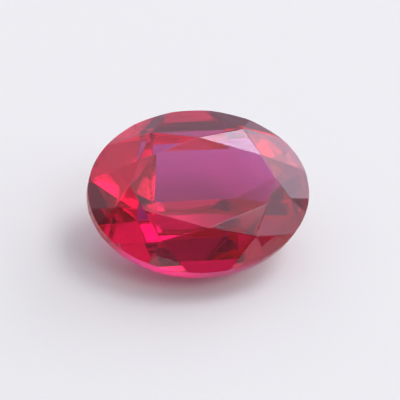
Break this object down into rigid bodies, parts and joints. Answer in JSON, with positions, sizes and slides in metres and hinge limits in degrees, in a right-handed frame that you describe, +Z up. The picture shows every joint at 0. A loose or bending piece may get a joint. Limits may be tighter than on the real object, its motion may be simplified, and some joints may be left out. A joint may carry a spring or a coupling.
{
  "type": "oval faceted ruby gemstone",
  "caption": "Loose oval brilliant-cut ruby with a flat table, faceted crown, thick girdle and a two-tier pavilion that ends in a short keel, lying on the facet beside the keel.",
  "frame": {"origin": "middle of the footprint, on the surface that the stone lies on", "axes": "+X along the oval's length, +Z up from the surface, -Y towards the side that the table leans to"},
  "size_m": [0.009, 0.0064, 0.0046],
  "materials": {
    "ruby": "clear red ruby, polished facets, finely ground girdle"
  },
  "bodies": {
    "root": {"ruby": "ruby"}
  },
  "joints": []
}
